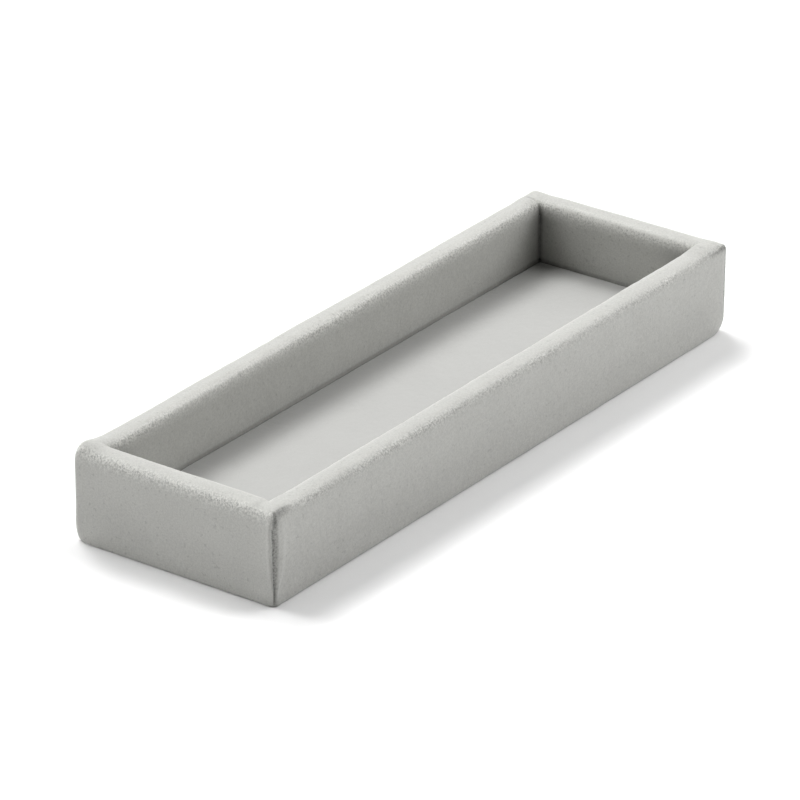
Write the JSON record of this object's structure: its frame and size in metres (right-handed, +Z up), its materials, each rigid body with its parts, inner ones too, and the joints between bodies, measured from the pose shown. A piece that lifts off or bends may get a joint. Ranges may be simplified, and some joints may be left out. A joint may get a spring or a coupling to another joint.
{
  "type": "jewelry tray",
  "caption": "Long, narrow, open tray with thick rounded walls, covered in short grey velour, with a padded velour floor and a flat felt base, for jewelry and small things.",
  "frame": {"origin": "middle of the underside, on the surface that the tray stands on", "axes": "+X along the length, +Y across the width, +Z up"},
  "size_m": [0.24, 0.075, 0.031],
  "materials": {
    "wall_velour": "short grey velour, matte with a soft sheen",
    "floor_velour": "short grey velour, pressed smoother than the walls",
    "base_felt": "thin pressed felt, matte",
    "fibreboard": "raw fibreboard, matte",
    "pad_board": "grey board, matte",
    "pad_foam": "fine open-cell foam, matte",
    "brad_steel": "plain wire"
  },
  "bodies": {
    "root": {"left_end_rail": "fibreboard", "right_end_rail": "fibreboard", "front_rail": "fibreboard", "back_rail": "fibreboard", "base_panel": "fibreboard", "corner_brads": "brad_steel", "left_end_velour": "wall_velour", "right_end_velour": "wall_velour", "front_velour": "wall_velour", "back_velour": "wall_velour", "floor_pad_velour": "floor_velour", "floor_pad_board": "pad_board", "floor_pad_foam": "pad_foam", "underside_felt": "base_felt"}
  },
  "joints": []
}
